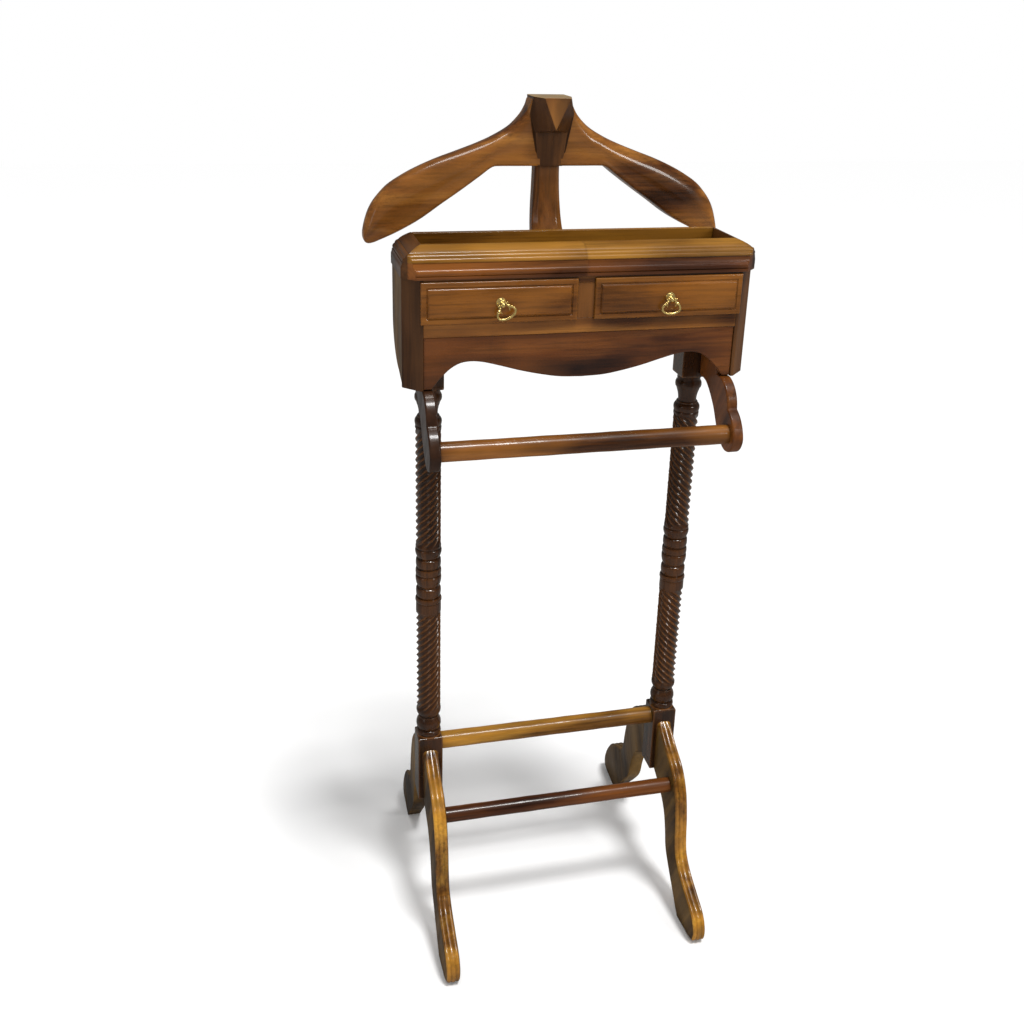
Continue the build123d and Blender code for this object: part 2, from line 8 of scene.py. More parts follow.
import bmesh
import bpy
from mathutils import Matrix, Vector


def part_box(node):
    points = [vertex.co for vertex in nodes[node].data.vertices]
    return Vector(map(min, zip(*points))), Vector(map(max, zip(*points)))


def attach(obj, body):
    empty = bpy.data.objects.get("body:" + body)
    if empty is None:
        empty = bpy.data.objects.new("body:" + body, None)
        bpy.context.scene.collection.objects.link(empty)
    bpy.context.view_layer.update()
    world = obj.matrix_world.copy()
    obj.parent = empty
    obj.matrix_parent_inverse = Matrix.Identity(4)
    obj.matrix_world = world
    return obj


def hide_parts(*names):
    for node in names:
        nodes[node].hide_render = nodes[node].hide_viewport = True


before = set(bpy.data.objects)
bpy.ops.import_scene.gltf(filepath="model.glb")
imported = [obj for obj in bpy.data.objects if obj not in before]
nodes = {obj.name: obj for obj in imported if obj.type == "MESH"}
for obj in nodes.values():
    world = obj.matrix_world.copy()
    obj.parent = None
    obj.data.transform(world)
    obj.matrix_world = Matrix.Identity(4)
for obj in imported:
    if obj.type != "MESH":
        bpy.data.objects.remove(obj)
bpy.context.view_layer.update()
scene = bpy.context.scene
MM = 0.001
SIDES = ((-1, "left"), (1, "right"))
CORNERS = ((-1, -1), (1, -1), (1, 1), (-1, 1))
CURVE_STEPS = 24            # points between two knots of a curve, before they are evened out


def box_mm(node):
    low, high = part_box(node)
    return low / MM, high / MM


# ------------------------------------------------------------------ camera
camera_data = bpy.data.cameras.new("camera")
camera_data.sensor_width = 36
camera_data.lens = 39.52
camera_data.shift_x = -0.0056
camera_data.shift_y = -0.0772
camera = bpy.data.objects.new("camera", camera_data)
camera.location = (-0.3948, -1.3396, 1.2441)
camera.rotation_euler = (math.radians(69.096), math.radians(-1.553), math.radians(-13.528))
scene.collection.objects.link(camera)
scene.camera = camera

# ------------------------------------------------------------------ wood
RED = ((0.020, 0.0046, 0.0012), (0.078, 0.0200, 0.0032), (0.180, 0.0580, 0.0085))
DARK = ((0.011, 0.0036, 0.0012), (0.046, 0.0155, 0.0036), (0.115, 0.0440, 0.0095))
GOLD = ((0.070, 0.0220, 0.0026), (0.255, 0.1020, 0.0100), (0.480, 0.2450, 0.0320))
WARM = ((0.018, 0.0050, 0.0011), (0.094, 0.0285, 0.0043), (0.270, 0.1050, 0.0175))
OLIVE = ((0.036, 0.0120, 0.0018), (0.140, 0.0540, 0.0055), (0.290, 0.1330, 0.0150))
ARM = ((0.038, 0.0110, 0.0024), (0.150, 0.0480, 0.0085), (0.340, 0.1450, 0.0290))
PANEL = ((0.052, 0.0220, 0.0026), (0.150, 0.0700, 0.0070), (0.240, 0.1220, 0.0150))
COLUMN = ((0.010, 0.0031, 0.0010), (0.036, 0.0115, 0.0027), (0.086, 0.0310, 0.0068))
# Painted highlight along the rope ridges of the columns, partly edge wear.
RIDGE_HIGHLIGHT = (0.25, 0.105, 0.034)
# Painted shade: darker tones for the rear legs and the flat sides of all legs.
SHADE = ((0.026, 0.0115, 0.0018), (0.080, 0.0390, 0.0062), (0.150, 0.0800, 0.0140))
# Painted shade: near-black tones for the left bracket, whose outer face turns away from the light.
BRACKET_SHADE = ((0.004, 0.0015, 0.0008), (0.014, 0.0050, 0.0020), (0.036, 0.0130, 0.0045))
# Painted highlight: cream tones for the flat top of the hanger head, as lit by the overhead light.
CREAM_HIGHLIGHT = ((0.340, 0.200, 0.075), (0.470, 0.310, 0.135), (0.560, 0.400, 0.190))
FRONT = ((0.095, 0.0300, 0.0030), (0.170, 0.0560, 0.0050), (0.260, 0.0980, 0.0100))
PALE = ((0.30, 0.18, 0.085), (0.46, 0.30, 0.16), (0.56, 0.39, 0.22))


def nodes_of(material):
    tree = material.node_tree
    return tree.nodes, tree.links


def add_node(material, kind, **values):
    """New shader node; keyword values set its inputs by name, or its own properties."""
    node = material.node_tree.nodes.new(kind)
    for key, value in values.items():
        if hasattr(node, key):
            setattr(node, key, value)
        else:
            node.inputs[key.replace("_", " ")].default_value = value
    return node


def ramp(material, source, stops):
    node = material.node_tree.nodes.new("ShaderNodeValToRGB")
    elements = node.color_ramp.elements
    while len(elements) < len(stops):
        elements.new(0.5)
    for element, (position, colour) in zip(elements, stops):
        element.position = position
        element.color = (*colour, 1)
    material.node_tree.links.new(source, node.inputs["Fac"])
    return node.outputs["Color"]


def grey(value):
    return (value, value, value)


def mix(material, kind, factor, first, second):
    node = material.node_tree.nodes.new("ShaderNodeMix")
    node.data_type = "RGBA"
    node.blend_type = kind
    links = material.node_tree.links
    for index, value in ((0, factor), (6, first), (7, second)):
        if isinstance(value, bpy.types.NodeSocket):
            links.new(value, node.inputs[index])
        elif index == 0:
            node.inputs[index].default_value = value
        else:
            node.inputs[index].default_value = (*value, 1)
    return node.outputs[2]


def wood(name, tones, axis, seed, gloss=0.30, coat=0.6, turn=0.0, corner_shade=0.75, sheen=0.35,
         patchy=0.75, edge=0.30, edge_tone=None):
    """Polished mahogany, with its grain along an axis of the row frame.

    tones are the dark, middle and light colours. recess darkens the corners and grooves: painted shade.
    wear lightens the open faces in patches: a painted sheen. patchy sets how cloudy the stain is, and edge
    how far the sharp crests turn to edge_tone: a painted highlight, partly edge wear."""
    material = bpy.data.materials.new(name)
    material.use_nodes = True
    tree_nodes, links = nodes_of(material)
    shader = tree_nodes["Principled BSDF"]
    coordinate = add_node(material, "ShaderNodeTexCoord")
    mapping = add_node(material, "ShaderNodeMapping")
    to_grain = {"x": (0, math.pi / 2, 0), "y": (math.pi / 2, 0, 0), "z": (0, 0, 0)}[axis]
    mapping.inputs["Rotation"].default_value = (to_grain[0] + turn, to_grain[1], to_grain[2])
    offsets = random.Random(seed)
    mapping.inputs["Location"].default_value = [offsets.uniform(-3, 3) for _ in range(3)]
    links.new(coordinate.outputs["Object"], mapping.inputs["Vector"])

    def stretched(scale, along, detail=4.0, rough=0.55, distortion=0.0):
        squeeze = add_node(material, "ShaderNodeMapping")
        squeeze.inputs["Scale"].default_value = (1, 1, along)
        links.new(mapping.outputs["Vector"], squeeze.inputs["Vector"])
        noise = add_node(material, "ShaderNodeTexNoise", Scale=scale, Detail=detail, Roughness=rough,
                         Distortion=distortion)
        links.new(squeeze.outputs["Vector"], noise.inputs["Vector"])
        return noise.outputs["Fac"]

    bands = stretched(34, 0.10, 3, 0.5, 0.6)
    streaks = stretched(260, 0.035, 5, 0.62, 0.2)
    pores = stretched(1500, 0.03, 2, 0.6)
    cloud = stretched(9, 0.45, 3, 0.5)

    dark, middle, light = tones
    figure = ramp(material, bands, [(0.30, dark), (0.50, middle), (0.72, light)])
    fine = ramp(material, streaks, [(0.32, grey(0.34)), (0.50, grey(0.95)), (0.72, grey(1.35))])
    colour = mix(material, "MULTIPLY", 0.8, figure, fine)
    patches = ramp(material, cloud, [(0.36, grey(0.45)), (0.50, grey(0.95)), (0.68, grey(1.3))])
    colour = mix(material, "MULTIPLY", patchy, colour, patches)
    pore_mask = ramp(material, pores, [(0.33, grey(0.45)), (0.44, grey(1.0))])
    colour = mix(material, "MULTIPLY", 0.7, colour, pore_mask)

    # Painted shade: the colour darkens in corners, grooves and hollows, as far as recess asks.
    occlusion = add_node(material, "ShaderNodeAmbientOcclusion", samples=6)
    occlusion.inputs["Distance"].default_value = 0.012
    hollow = ramp(material, occlusion.outputs["AO"], [(0.25, grey(0.22)), (0.85, grey(1.0))])
    colour = mix(material, "MULTIPLY", corner_shade, colour, hollow)
    # Painted sheen: the faces away from the sharp crests turn lighter in cloudy patches, as far as wear
    # asks.
    edges = add_node(material, "ShaderNodeAmbientOcclusion", samples=6, inside=True)
    edges.inputs["Distance"].default_value = 0.004
    worn = ramp(material, edges.outputs["AO"], [(0.45, grey(0.0)), (0.85, grey(1.0))])
    sheen_noise = ramp(material, cloud, [(0.42, grey(0.0)), (0.62, grey(1.0))])
    sheen_amount = mix(material, "MULTIPLY", 1.0, worn, sheen_noise)
    sheen_amount = mix(material, "MULTIPLY", 1.0, sheen_amount, grey(sheen))
    colour = mix(material, "MIX", sheen_amount, colour, tuple(min(1, c * 1.7) for c in light))
    # Painted highlight, partly edge wear: the sharp crests turn towards edge_tone.
    crest = ramp(material, edges.outputs["AO"], [(0.42, grey(1.0)), (0.80, grey(0.0))])
    crest = mix(material, "MULTIPLY", 1.0, crest, grey(edge))
    colour = mix(material, "MIX", crest, colour, edge_tone or tuple(min(1, c * 1.25) for c in light))
    links.new(colour, shader.inputs["Base Color"])

    rough = add_node(material, "ShaderNodeMapRange")
    rough.inputs["From Min"].default_value = 0.3
    rough.inputs["From Max"].default_value = 0.7
    rough.inputs["To Min"].default_value = gloss - 0.07
    rough.inputs["To Max"].default_value = gloss + 0.13
    links.new(stretched(60, 0.3, 4, 0.6), rough.inputs["Value"])
    links.new(rough.outputs["Result"], shader.inputs["Roughness"])
    shader.inputs["Coat Weight"].default_value = coat
    shader.inputs["Coat Roughness"].default_value = 0.10
    shader.inputs["Coat Tint"].default_value = (1.0, 0.93, 0.80, 1)
    shader.inputs["Specular IOR Level"].default_value = 0.22

    height = mix(material, "MULTIPLY", 0.6, ramp(material, streaks, [(0.2, grey(0.3)), (0.8, grey(1.0))]),
                 pore_mask)
    bump = add_node(material, "ShaderNodeBump", Strength=0.22, Distance=0.00035)
    links.new(height, bump.inputs["Height"])
    ripple = add_node(material, "ShaderNodeBump", Strength=0.35, Distance=0.0012)
    links.new(stretched(26, 0.35, 2, 0.5), ripple.inputs["Height"])
    links.new(bump.outputs["Normal"], ripple.inputs["Normal"])
    links.new(ripple.outputs["Normal"], shader.inputs["Normal"])
    return material


def metal(name, colour, roughness, metallic=1.0):
    """Polished metal with a thin worn film in its hollows."""
    material = bpy.data.materials.new(name)
    material.use_nodes = True
    tree_nodes, links = nodes_of(material)
    shader = tree_nodes["Principled BSDF"]
    shader.inputs["Metallic"].default_value = metallic
    coordinate = add_node(material, "ShaderNodeTexCoord")
    noise = add_node(material, "ShaderNodeTexNoise", Scale=380.0, Detail=4.0)
    links.new(coordinate.outputs["Object"], noise.inputs["Vector"])
    occlusion = add_node(material, "ShaderNodeAmbientOcclusion", samples=6)
    occlusion.inputs["Distance"].default_value = 0.003
    hollow = ramp(material, occlusion.outputs["AO"], [(0.2, grey(0.25)), (0.8, grey(1.0))])
    tone = ramp(material, noise.outputs["Fac"], [(0.35, tuple(c * 0.78 for c in colour)), (0.65, colour)])
    links.new(mix(material, "MULTIPLY", 0.8, tone, hollow), shader.inputs["Base Color"])
    rough = add_node(material, "ShaderNodeMapRange")
    rough.inputs["To Min"].default_value = roughness * 0.7
    rough.inputs["To Max"].default_value = roughness * 1.5
    links.new(noise.outputs["Fac"], rough.inputs["Value"])
    links.new(rough.outputs["Result"], shader.inputs["Roughness"])
    bump = add_node(material, "ShaderNodeBump", Strength=0.15, Distance=0.0001)
    links.new(noise.outputs["Fac"], bump.inputs["Height"])
    links.new(bump.outputs["Normal"], shader.inputs["Normal"])
    return material


BRASS = metal("polished_brass", (0.95, 0.70, 0.25), 0.24, metallic=0.85)
STEEL = metal("screw_steel", (0.48, 0.46, 0.42), 0.35)


# ------------------------------------------------------------------ mesh helpers
def mesh(name, points, faces, replaced=(), body="stand", *, material, slot, sharp=32,
         bevel=0.0, segments=2):
    """One piece from points in millimetres; it stands for the replaced CAD nodes."""
    data = bpy.data.meshes.new(name)
    data.from_pydata([tuple(Vector(p) * MM) for p in points], [], faces)
    work = bmesh.new()
    work.from_mesh(data)
    bmesh.ops.recalc_face_normals(work, faces=work.faces)
    work.to_mesh(data)
    work.free()
    data.validate()
    data.shade_smooth()
    data.set_sharp_from_angle(angle=math.radians(sharp))
    piece = bpy.data.objects.new(name, data)
    scene.collection.objects.link(piece)
    if bevel:
        round_edges(piece, bevel, segments, sharp)
    data.materials.append(material)
    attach(piece, body)
    if replaced:
        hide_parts(*replaced)
    return piece


def shade_faces(piece, material, chosen):
    """Second, darker material on the faces whose centre, in millimetres, passes the test: painted shade.
    """
    piece.data.materials.append(material)
    for face in piece.data.polygons:
        if chosen(face.center / MM, face.normal):
            face.material_index = 1


def round_edges(piece, width, segments=2, angle=32):
    modifier = piece.modifiers.new("edges", "BEVEL")
    modifier.width = width * MM
    modifier.segments = segments
    modifier.limit_method = "ANGLE"
    modifier.angle_limit = math.radians(angle)
    modifier.harden_normals = True
    modifier.use_clamp_overlap = True


def loft(rings):
    """Points and faces of a closed solid through rings of equal length."""
    points = [p for ring in rings for p in ring]
    count = len(rings[0])
    faces = []
    for i in range(len(rings) - 1):
        for j in range(count):
            k = (j + 1) % count
            faces.append((i * count + j, i * count + k, (i + 1) * count + k, (i + 1) * count + j))
    faces.append(tuple(range(count))[::-1])
    last = (len(rings) - 1) * count
    faces.append(tuple(range(last, last + count)))
    return points, faces


def curve_through(knots, count):
    """Evenly spaced points on a smooth (centripetal) curve through the knots."""
    knots = [Vector(k) for k in knots]
    dense = []
    ends = [2 * knots[0] - knots[1]] + knots + [2 * knots[-1] - knots[-2]]
    for a, b, c, d in zip(ends, ends[1:], ends[2:], ends[3:]):
        t = [0.0]
        for p, q in ((a, b), (b, c), (c, d)):
            t.append(t[-1] + max((q - p).length, 1e-6) ** 0.5)
        for step in range(CURVE_STEPS):
            u = t[1] + (t[2] - t[1]) * step / CURVE_STEPS
            a1 = a.lerp(b, (u - t[0]) / (t[1] - t[0]))
            a2 = b.lerp(c, (u - t[1]) / (t[2] - t[1]))
            a3 = c.lerp(d, (u - t[2]) / (t[3] - t[2]))
            b1 = a1.lerp(a2, (u - t[0]) / (t[2] - t[0]))
            b2 = a2.lerp(a3, (u - t[1]) / (t[3] - t[1]))
            dense.append(b1.lerp(b2, (u - t[1]) / (t[2] - t[1])))
    dense.append(knots[-1])
    return even(dense, count)


def even(line, count):
    """count points spaced evenly along a polyline."""
    line = [Vector(p) for p in line]
    lengths = [0.0]
    for p, q in zip(line, line[1:]):
        lengths.append(lengths[-1] + (q - p).length)
    result, index = [], 0
    for step in range(count):
        target = lengths[-1] * step / (count - 1)
        while index < len(line) - 2 and lengths[index + 1] < target:
            index += 1
        span = lengths[index + 1] - lengths[index] or 1
        result.append(line[index].lerp(line[index + 1], min(1, (target - lengths[index]) / span)))
    return result


def plate(outline, axis, start, end):
    """Points and faces of an outline extruded along x, y or z from start to end."""
    def place(p, level):
        return {"x": (level, p[0], p[1]), "y": (p[0], level, p[1]), "z": (p[0], p[1], level)}[axis]
    return loft([[place(p, start) for p in outline], [place(p, end) for p in outline]])


def keep_cad(node, material, width=0.6):
    """The CAD node stays, with softened edges and a finished material."""
    piece = nodes[node]
    piece.data.materials.clear()
    piece.data.materials.append(material)
    joined = piece.modifiers.new("joined", "WELD")
    joined.merge_threshold = 0.00001
    round_edges(piece, width, angle=35)


# ------------------------------------------------------------------ columns
COLUMN_X = 176.7
ROPE_RADIUS = 17.2
ROPE_DEPTH = 3.1
STRANDS = 9
PITCH = 88.0
ROUND = STRANDS * 14        # points around the column
ROPE_STEP = 1.25            # height between two rings of the rope
ROPE_FADE = 7.0             # length over which the rope runs out at its ends
BLOCK_HALF = 17.5
CAP_LOW, CAP_HIGH = 787, 881.3
FOOT_LOW, FOOT_HIGH = 162, 265.7
UPPER_TURNING = [
    (15.2, 787), (15.2, 785.5), (15.8, 783.5), (15.2, 781), (16.6, 779), (17.6, 776.5), (17.7, 773.5),
    (17.2, 771), (15.8, 769), (15.4, 767.5), (14.9, 766), (13.6, 762), (12.6, 757), (12.2, 752.5),
    (12.3, 750.4), (13.9, 750), (14.6, 749), (14.3, 747.6), (16, 746.5), (17.4, 744), (17.7, 741),
    (17.2, 738), (16.3, 736.3), (17.0, 735.2), (17.2, 733),
]
MIDDLE_TURNING = [
    (17.2, 565), (17.2, 562.5), (16.2, 561.5), (17.4, 560.5), (17.9, 558), (17.7, 555.2), (16.9, 552),
    (15.7, 549), (14.7, 547.2), (14.5, 546.4), (16.0, 545.6), (16.7, 544.4), (17.0, 541), (17.0, 537.5),
    (16.6, 534.8), (15.8, 533.4), (14.8, 532.2), (15.0, 531.4), (16.8, 530.6), (17.4, 528.4),
    (17.4, 525), (17.1, 522.8), (15.9, 521.6), (15.9, 521), (17.2, 520), (17.5, 517), (17.2, 512.5),
    (16.2, 508), (14.9, 505), (14.2, 503.8), (14.4, 502.8), (16.0, 502), (16.8, 500.4), (17.0, 497),
    (16.8, 493), (16.3, 490), (15.2, 488.3), (15.2, 487.5), (17.2, 486.8), (17.9, 484.8),
    (17.9, 482.4), (17.2, 480.4), (16.6, 479.8), (17.0, 478.8), (17.1, 474), (17.2, 468), (17.2, 466),
]
LOWER_TURNING = [
    (17.2, 308), (17.2, 306), (16.8, 303.2), (15.6, 300.6), (13.8, 299), (12.7, 298), (12.8, 297),
    (14.1, 296.4), (14.4, 295.4), (13.9, 294.4), (14.9, 292.6), (16.4, 290), (17.3, 286.6),
    (17.5, 283.6), (17.0, 280.4), (15.9, 277.8), (14.8, 276.4), (14.6, 275.4), (15.9, 274.6),
    (17.2, 272.8), (17.5, 270.6), (17.2, 268.4), (16.2, 267.2), (17.2, 266.8), (17.2, 265),
]
ROPES = ((733, 565), (466, 308))


def column(side, tag, material):
    """Turned column whose two plain lengths are cut as a rope with sharp ridges."""
    sequence = [(radius, z, 0.0) for radius, z in UPPER_TURNING]
    for (top, bottom), after in zip(ROPES, (MIDDLE_TURNING, LOWER_TURNING)):
        steps = int((top - bottom) / ROPE_STEP)
        for step in range(1, steps):
            z = top + (bottom - top) * step / steps
            ease = min(1.0, (top - z) / ROPE_FADE, (z - bottom) / ROPE_FADE)
            sequence.append((ROPE_RADIUS, z, ease ** 0.6))
        sequence.extend((radius, z, 0.0) for radius, z in after)
    rings = []
    for radius, z, cut in sequence:
        ring = []
        for step in range(ROUND):
            angle = 2 * math.pi * step / ROUND
            r = radius
            if cut:
                phase = STRANDS * (angle + side * 2 * math.pi * z / PITCH) / 2
                groove = abs(math.sin(phase))
                r = radius - ROPE_DEPTH * cut * min(1.0, groove ** 0.85 * 1.05)
            ring.append((side * COLUMN_X + r * math.cos(angle), r * math.sin(angle), z))
        rings.append(ring)
    points, faces = loft(rings)
    mesh(f"column_{tag}_turned", points, faces, (f"column_{tag}",), material=material,
         slot="mahogany_dark", sharp=50)


def eased_block(name, x, low, high, ease, material):
    """Square column block with chamfered top and bottom edges."""
    levels = ((low, BLOCK_HALF - ease), (low + ease, BLOCK_HALF), (high - ease, BLOCK_HALF),
              (high, BLOCK_HALF - ease))
    rings = [[(x + sx * half, sy * half, z) for sx, sy in CORNERS] for z, half in levels]
    mesh(name, *loft(rings), material=material, slot="mahogany_dark", bevel=1.0, segments=3, sharp=25)


for side, tag in SIDES:
    timber = wood(f"column_{tag}_wood", COLUMN, "z", 11 + side, gloss=0.28, coat=0.8, corner_shade=1.0,
                  sheen=0.12, patchy=0.4, edge=0.75, edge_tone=RIDGE_HIGHLIGHT)
    column(side, tag, timber)
    eased_block(f"column_{tag}_cap", side * COLUMN_X, CAP_LOW, CAP_HIGH, 1.2, timber)
    eased_block(f"column_{tag}_foot", side * COLUMN_X, FOOT_LOW, FOOT_HIGH, 1.6, timber)

# ------------------------------------------------------------------ legs
LEG_HALF = 10.25
LEG_CREST = {
    "front": [(17.6, 246), (48, 226.5), (81, 208), (101, 182), (112, 145), (117, 110), (123, 88),
              (138, 73), (167, 58), (195, 43.5), (204.5, 31), (207.6, 19), (205, 7), (198, 1.6),
              (191, 0)],
    "rear": [(17.6, 246), (48, 226.5), (81, 208), (101, 188), (112, 162), (119, 135), (124.5, 104),
             (129.6, 91), (136, 88), (154, 80.5), (177, 67), (196, 45), (205.5, 27), (207.6, 17),
             (205, 7), (198, 1.6), (191, 0)],
}
LEG_CALF = [(17.6, 163), (38, 151), (57, 138), (70, 121), (79, 97), (86, 72), (106, 46),
            (128, 22), (148, 0)]
LEG_STEPS = 90
CREST_POINTS = 32           # spaces across the crest
REED_COUNT = 3
REED_DEPTH = 2.0
EDGE_DROP, EDGE_START = 4.6, 0.66
END_DROP = 5.0              # rounding of the crest where the leg starts and ends
BACK_ACROSS = (1, 0.9, 0.3, -0.3, -0.9, -1)


def reed_depth(across):
    """How far the leg's crest drops below its ridge line, across from -1 to 1."""
    edge = EDGE_DROP * (max(0.0, abs(across) - EDGE_START) / (1 - EDGE_START)) ** 2
    reed = abs(math.sin(math.pi * REED_COUNT * (across + 1) / 2))
    return edge + REED_DEPTH * (1 - reed ** 0.5)


def leg(side, tag, facing, place, material):
    """Scroll leg with a reeded crest and a plain back."""
    crest = curve_through(LEG_CREST[place], LEG_STEPS)
    calf = curve_through(LEG_CALF, LEG_STEPS)
    across = [2 * i / CREST_POINTS - 1 for i in range(CREST_POINTS + 1)]
    rings = []
    for i, (front, back) in enumerate(zip(crest, calf)):
        before, after = crest[max(i - 1, 0)], crest[min(i + 1, LEG_STEPS - 1)]
        along = (after - before).normalized()
        inward = Vector((along.y, -along.x))
        if inward.dot(back - front) < 0:
            inward = -inward
        ease = min(1.0, i / 5 + 0.25, (LEG_STEPS - 1 - i) / 6 + 0.1)
        ring = []
        for a in across:
            depth = reed_depth(a) * ease + (1 - ease) * END_DROP * abs(a) ** 3
            point = front + inward * depth
            ring.append((side * COLUMN_X + a * LEG_HALF, facing * point.x, max(0.0, point.y)))
        for a in BACK_ACROSS:
            shift = 0.9 if abs(a) == 1 else 0.0
            point = back + (front - back).normalized() * shift
            ring.append((side * COLUMN_X + a * LEG_HALF, facing * point.x, point.y))
        rings.append(ring)
    points, faces = loft(rings)
    return mesh(f"{place}_leg_{tag}_reeded", points, faces, (f"{place}_leg_{tag}",), material=material,
                slot="mahogany_warm", sharp=40)


for side, tag in SIDES:
    for facing, place, tones in ((-1, "front", GOLD), (1, "rear", SHADE)):
        front = place == "front"
        timber = wood(f"{place}_leg_{tag}_wood", tones, "z", 21 + side + 3 * facing,
                      gloss=0.29 if front else 0.5, coat=0.55 if front else 0.1,
                      turn=0.5 * facing, corner_shade=1.0)
        piece = leg(side, tag, facing, place, timber)
        # The flat sides of the legs take the SHADE tones: painted shade.
        flat = wood(f"{place}_leg_{tag}_flat", SHADE, "z", 27 + side + 3 * facing, gloss=0.42, coat=0.15,
                    turn=0.5 * facing, corner_shade=1.0, patchy=0.5)
        shade_faces(piece, flat, lambda _, normal: abs(normal.x) > 0.9)


# ------------------------------------------------------------------ round rails
RAILS = (                   # node, half length, y, z, radius, tones, seed, gloss, coat
    ("trouser_rail", 183.5, -119, 745, 12.4, WARM, 31, 0.32, 0.25),
    ("upper_foot_rail", 159.2, 0, 249, 12.4, GOLD, 32, 0.32, 0.2),
    ("lower_foot_rail", 166.4, -77, 179, 10.8, RED, 33, 0.34, 0.2),
)
RAIL_STEPS, RAIL_ROUND = 60, 64


def rail(node, half, y, z, radius, material):
    """Round rail, very slightly uneven as turned by hand."""
    rings = []
    for step in range(RAIL_STEPS + 1):
        x = -half + 2 * half * step / RAIL_STEPS
        wobble = 0.12 * math.sin(step * 0.37) + 0.08 * math.sin(step * 0.91 + 1)
        reach = radius - 0.2 + wobble
        turns = [2 * math.pi * k / RAIL_ROUND for k in range(RAIL_ROUND)]
        rings.append([(x, y + reach * math.cos(a), z + reach * math.sin(a)) for a in turns])
    mesh(f"{node}_round", *loft(rings), replaced=(node,), material=material, slot="mahogany_warm",
         sharp=40)


for node, half, y, z, radius, tones, seed, gloss, coat in RAILS:
    rail(node, half, y, z, radius, wood(f"{node}_wood", tones, "x", seed, gloss=gloss, coat=coat))

# ------------------------------------------------------------------ rail brackets
BRACKET_TOP = [(-17.6, 881.4), (-71.3, 881.4), (-71.3, 809.5)]
BRACKET_SCROLLS = (         # start, middle, end, points
    ((-84, 809.5), (-105, 797.5), (-114, 776), 12),
    ((-114, 776), (-132, 762), (-140, 744), 10),
    ((-140, 744), (-125, 722.5), (-104, 724.5), 14),
)
BRACKET_BACK = [(-104, 724.5), (-85, 742), (-68, 766), (-40, 788.5), (-17.6, 791.5)]


def arc(start, middle, end, count):
    """Points on the circle through three points, end left out."""
    (ax, ay), (bx, by), (cx, cy) = start, middle, end
    a2, b2, c2 = ax * ax + ay * ay, bx * bx + by * by, cx * cx + cy * cy
    d = 2 * (ax * (by - cy) + bx * (cy - ay) + cx * (ay - by))
    ux = (a2 * (by - cy) + b2 * (cy - ay) + c2 * (ay - by)) / d
    uy = (a2 * (cx - bx) + b2 * (ax - cx) + c2 * (bx - ax)) / d
    radius = math.hypot(ax - ux, ay - uy)
    first, mid, last = (math.atan2(p[1] - uy, p[0] - ux) for p in (start, middle, end))
    sweep = (last - first) % (2 * math.pi)
    if (mid - first) % (2 * math.pi) > sweep:
        sweep -= 2 * math.pi
    angles = [first + sweep * i / count for i in range(count)]
    return [(ux + radius * math.cos(a), uy + radius * math.sin(a)) for a in angles]


for side, tag in SIDES:
    low, high = box_mm(f"bracket_{tag}")
    outline = list(BRACKET_TOP)
    for scroll in BRACKET_SCROLLS:
        outline += arc(*scroll)
    outline += [tuple(p) for p in curve_through(BRACKET_BACK, 24)]
    # The left bracket takes the near-black tones: painted shade on the face turned from the light.
    timber = wood(f"bracket_{tag}_wood", BRACKET_SHADE if side < 0 else RED, "z", 41 + side, gloss=0.34,
                  coat=0.2, turn=-0.5)
    mesh(f"bracket_{tag}_shaped", *plate(outline, "x", low.x, high.x), replaced=(f"bracket_{tag}",),
         material=timber, slot="mahogany_dark", bevel=2.2, segments=4, sharp=40)

# ------------------------------------------------------------------ case boards
case_wood = {
    "corner_post_left": (DARK, "z", 51), "corner_post_right": (DARK, "z", 52),
    "side_panel_left": (PANEL, "z", 53), "side_panel_right": (DARK, "z", 54),
    "case_bottom": (DARK, "x", 55), "tray_floor": (WARM, "x", 56), "bottom_rail": (WARM, "x", 57),
    "divider": (WARM, "z", 58), "partition": (DARK, "y", 59), "back_board": (OLIVE, "x", 60),
}
for node, (tones, axis, seed) in case_wood.items():
    dull = node.startswith(("side_panel", "corner_post"))
    keep_cad(node, wood(f"{node}_wood", tones, axis, seed, gloss=0.45 if dull else 0.30,
                        coat=0.1 if dull else 0.4, patchy=0.45))

APRON_EDGE = [(0, 818.7), (28, 820), (53, 824.2), (78, 830), (103, 837.2), (124, 842.6), (139, 844.2),
              (152, 842.2), (163, 836.2), (173, 827), (180, 819), (186, 811)]
APRON_END, APRON_FOOT, APRON_TOP = 196, 811, 875.4
APRON_FRONT, APRON_REAR = -83, -74
half_edge = [tuple(p) for p in curve_through(APRON_EDGE, 48)]
outline = [(-x, z) for x, z in half_edge[::-1]] + half_edge[1:]
outline += [(APRON_END, APRON_FOOT), (APRON_END, APRON_TOP), (-APRON_END, APRON_TOP),
            (-APRON_END, APRON_FOOT)]
mesh("apron_shaped", *plate(outline, "y", APRON_FRONT, APRON_REAR), replaced=("apron",),
     material=wood("apron_wood", RED, "x", 61, gloss=0.27, coat=0.6, patchy=0.5), slot="mahogany_warm",
     bevel=1.2, segments=3, sharp=40)

